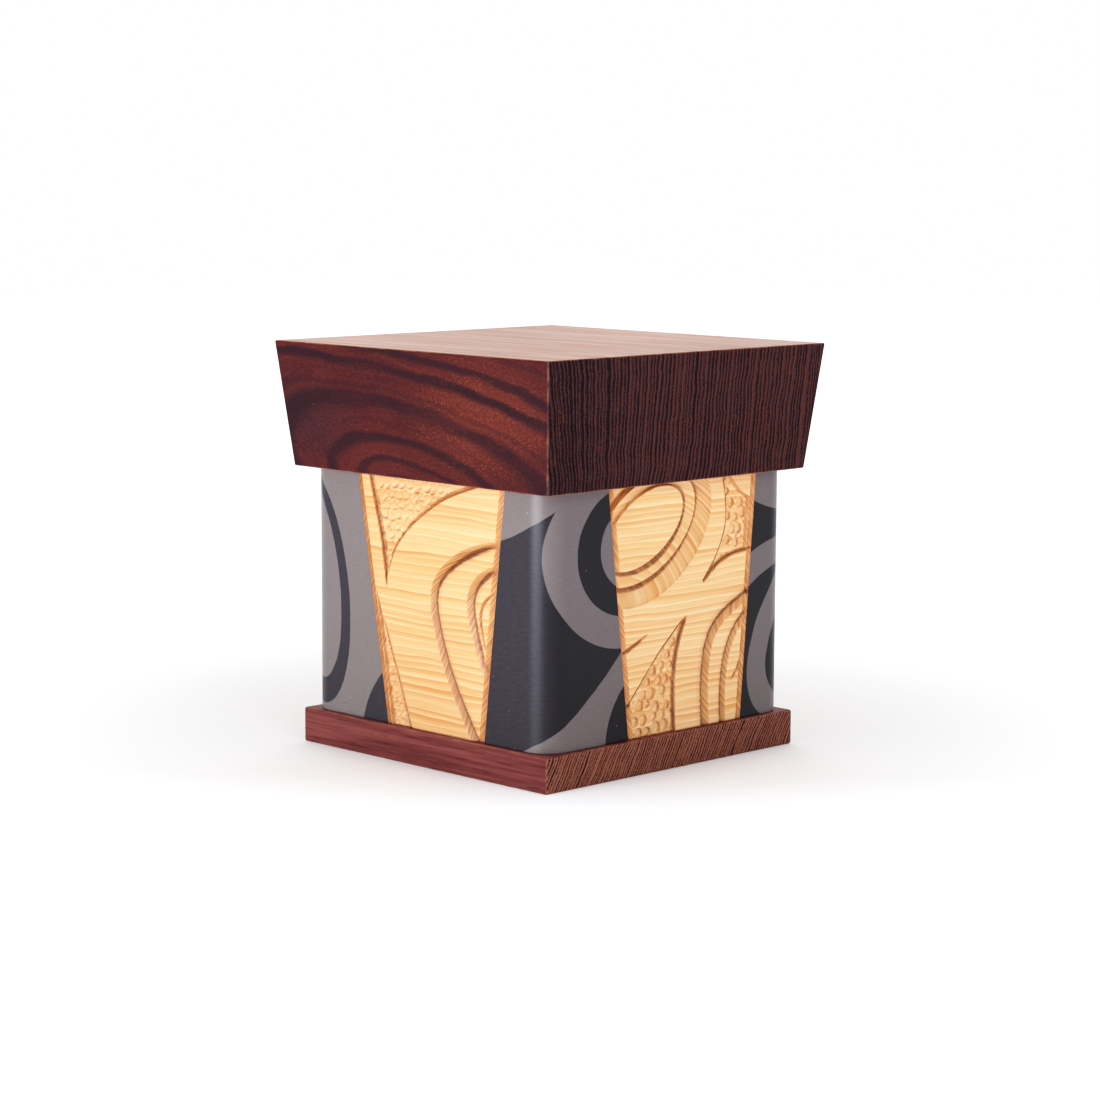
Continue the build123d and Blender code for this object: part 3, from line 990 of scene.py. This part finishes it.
def painted_design_group():
    """1 where the plank is painted charcoal, 0 where it is grey, from mm round the box and mm up."""
    tree, given, out = new_group("painted_design", [("Around mm", "Float", 0.0), ("Up mm", "Float", 0.0)],
                                 [("Charcoal", "Float")])
    around = given["Around mm"]
    starts = {
        "front": calc(tree, "WRAP", around, WALL_STEP, -WALL_STEP),    # the pegged corner's design too
        "right": minus(tree, around, WALL_STEP),
        "left": plus(tree, around, WALL_STEP),
    }
    total = None
    for bend, ovals in BEND_OVALS.items():
        spot = join(tree, starts[bend], given["Up mm"])
        tone = None
        for centre, up, half_long, half_high, tilt, dark in ovals:
            local = put(tree, "Mapping",
                        {"Vector": spot, "Location": (centre, up, 0), "Rotation": (0, 0, math.radians(tilt)),
                         "Scale": (half_long, half_high, 1)}, vector_type="TEXTURE").outputs[0]
            soft = 0.12 / min(half_long, half_high)
            inside = remap(tree, reach_of(tree, local), 1 - soft, 1 + soft, 1.0, 0.0, "LINEAR")
            if tone is None:
                tone = times(tree, inside, dark)
            elif dark:
                tone = calc(tree, "MAXIMUM", tone, inside)
            else:
                tone = times(tree, tone, minus(tree, 1.0, inside))
        near = calc(tree, "LESS_THAN", calc(tree, "ABSOLUTE", starts[bend]), WALL_STEP / 2)
        share = times(tree, tone, near)
        total = share if total is None else plus(tree, total, share)
    tree.links.new(total, out.inputs["Charcoal"])
    return tree


def milk_paint(grey, charcoal):
    """Two tones of satin paint brushed on along the plank, thin enough for brush lines to show, with painted
    light on the left and front walls and painted shade on the right and back walls.
    """
    material, tree, shader = new_material("grey_and_charcoal_paint")
    place, along, up, _ = board_place(tree)
    wobble = times(tree, minus(tree, noise(tree, place, 90.0, 2.0), 0.5), 0.6)
    around_mm = plus(tree, in_mm(tree, along), wobble)
    up_mm = minus(tree, in_mm(tree, up), wobble)
    dark = use_group(tree, painted_design_group(), {"Around mm": around_mm, "Up mm": up_mm})["Charcoal"]
    brush = noise(tree, place, (300, 1200, 1200), 3.0, 0.65)
    broad = noise(tree, place, (30, 90, 90), 2.0, 0.5)
    dull_grey, light_grey = (tuple(c * share for c in grey) for share in (0.95, 1.05))
    tone = lay_over(tree, dull_grey, (remap(tree, brush, 0.3, 0.7), light_grey),
                    (remap(tree, broad, 0.35, 0.7, 0.0, 0.25), light_grey))
    black = mix_colours(tree, remap(tree, brush, 0.3, 0.75), charcoal, tuple(c * 1.35 for c in charcoal))
    colour = mix_colours(tree, dark, tone, black)
    # Painted light and shade: the paint is coloured lighter on the left and front walls, the charcoal most of
    # all, where the key light and its sheen fall, and darker on the right and back walls.
    turned = remap(tree, around_mm, -BEND / 2, BEND / 2)
    lit_walls_tone = mix_colours(tree, dark, (0.935, 0.94, 0.90), (1.5, 1.5, 1.5))
    full = mix_colours(tree, dark, (0.79, 0.785, 0.78), (0.45, 0.45, 0.45))
    colour = mix_colours(tree, 1.0, colour, mix_colours(tree, turned, lit_walls_tone, full), "MULTIPLY")
    speck = use_group(tree, DUST, {"Place": place, "Spread": 420.0, "Share": 0.05})["Speck"]
    lint = use_group(tree, DUST, {"Place": place, "Spread": 170.0, "Share": 0.03})["Speck"]
    lint = times(tree, calc(tree, "MAXIMUM", speck, times(tree, lint, 0.6)), 0.7)
    colour = mix_colours(tree, lint, colour, (0.42, 0.42, 0.44))
    rough = remap(tree, brush, 0.2, 0.8, 0.28, 0.38)
    height = plus(tree, brush, times(tree, dark, 0.4))
    finish_surface(tree, shader, colour, rough, height, strength=0.12, distance=0.0001, specular=0.25)
    return material


def peg_finish():
    """A split and whittled peg, whose head shows end grain."""
    material, tree, shader = new_material("whittled_peg")
    place = put(tree, "TexCoord").outputs["Object"]
    grain = noise(tree, place, 900.0, 4.0, 0.65)
    rings = noise(tree, place, 260.0, 2.0, 0.5)
    colour = mix_colours(tree, remap(tree, rings, 0.35, 0.65), (0.42, 0.23, 0.10), (0.27, 0.13, 0.055))
    colour = mix_colours(tree, remap(tree, grain, 0.5, 0.75, 0.0, 0.6), colour, (0.12, 0.055, 0.025))
    rough = remap(tree, grain, 0.2, 0.8, 0.5, 0.7)
    finish_surface(tree, shader, colour, rough, grain, strength=0.3, distance=0.0002, specular=0.5)
    return material


def sweep_finish():
    """A white sweep that glows a little, more so away from the box and out past its front corner."""
    material, tree, shader = new_material("white_sweep")
    place = put(tree, "TexCoord").outputs["Object"]
    colour = mix_colours(tree, noise(tree, place, 3.0), (0.89, 0.885, 0.9), (0.91, 0.905, 0.915))
    tree.links.new(colour, shader.inputs["Base Color"])
    past_corner = reach_along(tree, place, (0.707, -0.707, 0.0))
    glow = plus(tree, remap(tree, reach_of(tree, place), 0.1, 0.38, 0.03, 0.45),
                remap(tree, past_corner, 0.05, 0.15, 0.0, 0.36))
    tree.links.new(join(tree, glow, glow, times(tree, glow, 1.12)), shader.inputs["Emission Color"])
    shader.inputs["Emission Strength"].default_value = 1.0
    shader.inputs["Roughness"].default_value = 0.9
    shader.inputs["Specular IOR Level"].default_value = 0.1
    return material


# ---- The pieces ----

def make_panel_shapes():
    """Carves each design once; opposite walls carry the same one."""
    shapes = {}
    for design, carve in (("ovals", carve_ovals), ("waves", carve_waves)):
        panel = Panel(design)
        panel.border(*BORDER_WIDTH[design])
        carve(panel)
        shapes[design] = panel
    return shapes


paint = milk_paint((0.212, 0.183, 0.187), (0.0200, 0.0172, 0.0230))
bare_cedar = yellow_cedar(
    "bare_yellow_cedar", cream=(0.84, 0.66, 0.42), pale=(0.78, 0.54, 0.30), golden=(0.70, 0.43, 0.19),
    ring=(0.62, 0.33, 0.12))
carved_cedar = yellow_cedar(
    "carved_yellow_cedar", cream=(0.95, 0.76, 0.52), pale=(0.92, 0.64, 0.37), golden=(0.86, 0.505, 0.225),
    ring=(0.76, 0.37, 0.130), cut_colour=(0.50, 0.20, 0.07))
lid_finish = lid_cedar()
base_finish = base_cedar()
peg = peg_finish()

plank = painted_plank()
plank.data.materials.append(paint)
plank.data.materials.append(bare_cedar)
drill_for_pegs(plank)
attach(plank, "box")
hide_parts("side_plank")

panel_shapes = make_panel_shapes()
for wall in WALL_DESIGN:
    carved = carved_panel(wall, panel_shapes)
    carved.data.materials.append(carved_cedar)
    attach(carved, "box")
    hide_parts("side_plank")

for node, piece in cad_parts.items():
    finish = {"lid_block": lid_finish, "base_board": base_finish}.get(node, peg)
    piece.data.materials.clear()
    piece.data.materials.append(finish)


# ---- Floor, light and camera ----

def add_floor():
    """A wide pale sheet under the box."""
    half = 3000.0
    corners = [(-half, -half, 0), (half, -half, 0), (half, half, 0), (-half, half, 0)]
    floor = make_mesh("floor", corners, [(0, 1, 2, 3)])
    floor.data.materials.append(sweep_finish())


def look_from(place, target, roll=0.0):
    """A rotation that looks from a place at a target, rolled in degrees."""
    back = (Vector(place) - Vector(target)).normalized()
    right = Vector((0, 0, 1)).cross(back).normalized()
    up = back.cross(right)
    turn = Matrix((right, up, back)).transposed()
    return (turn @ Matrix.Rotation(math.radians(roll), 3, "Z")).to_4x4()


def add_soft_light(name, place, size, power, colour):
    """A soft box so wide and so high, aimed at the middle of the box."""
    data = bpy.data.lights.new(name, "AREA")
    data.shape = "RECTANGLE"
    data.size, data.size_y = size
    data.energy = power
    data.color = colour
    lamp = add_object(name, data)
    lamp.matrix_world = Matrix.Translation(place) @ look_from(place, (0, 0, 0.07))
    return lamp


def add_camera():
    """The camera, at the height and turn from which the box is best seen, with a long lens."""
    azimuth, elevation, distance = math.radians(45.235), math.radians(7.88), 1.1256
    target = Vector((0.00075, -0.00003, 0.07602))
    level = math.cos(elevation)
    back = Vector((math.sin(azimuth) * level, -math.cos(azimuth) * level, math.sin(elevation)))
    place = target + back * distance
    data = bpy.data.cameras.new("camera")
    data.lens = 94.86
    data.sensor_width = 36
    camera = add_object("camera", data)
    camera.matrix_world = Matrix.Translation(place) @ look_from(place, target, 0.28)
    bpy.context.scene.camera = camera


def add_surround():
    """White to look at; as light it is bright overhead and behind the box, and dim in front of it."""
    world = bpy.data.worlds.new("surround")
    bpy.context.scene.world = world
    world.use_nodes = True
    tree = world.node_tree
    direction = put(tree, "TexCoord").outputs["Generated"]
    behind = reach_along(tree, direction, (-0.707, 0.707, 0.1))
    height = split(tree, direction)["Z"]
    glow = plus(tree, remap(tree, behind, 0.35, 0.95, 0.0, 1.35), remap(tree, height, 0.1, 1.0, 0.22, 0.72))
    seen = put(tree, "LightPath").outputs["Is Camera Ray"]
    strength = plus(tree, glow, times(tree, seen, minus(tree, 1.0, glow)))
    background = tree.nodes["Background"]
    background.inputs["Color"].default_value = (1, 1, 1, 1)
    tree.links.new(strength, background.inputs["Strength"])


def add_lights():
    """A soft box before the front wall, a weaker one over the right, and one that only shows in sheen."""
    add_soft_light("key", place=(-0.12, -1.25, 0.33), size=(0.6, 0.6), power=7.3, colour=(0.97, 0.985, 1.0))
    add_soft_light("fill", place=(1.2, -0.2, 1.0), size=(0.9, 0.9), power=5.4, colour=(1.0, 0.99, 0.97))
    sheen = add_soft_light("sheen", place=(0.09, -1.2, 0.18), size=(0.82, 0.34), power=18.0,
                           colour=(0.80, 0.87, 1.0))
    sheen.visible_diffuse = False


def set_tone():
    """A print's tone: firm shadows and full lights."""
    view = bpy.context.scene.view_settings
    view.view_transform = "Standard"
    view.use_curve_mapping = True
    curve = view.curve_mapping.curves[3]        # the one for all three colours together
    for darkness, tone in ((0.02, 0.011), (0.08, 0.062), (0.25, 0.26), (0.5, 0.57), (0.75, 0.84)):
        curve.points.new(darkness, tone)
    view.curve_mapping.update()


add_floor()
add_surround()
add_lights()
add_camera()
set_tone()
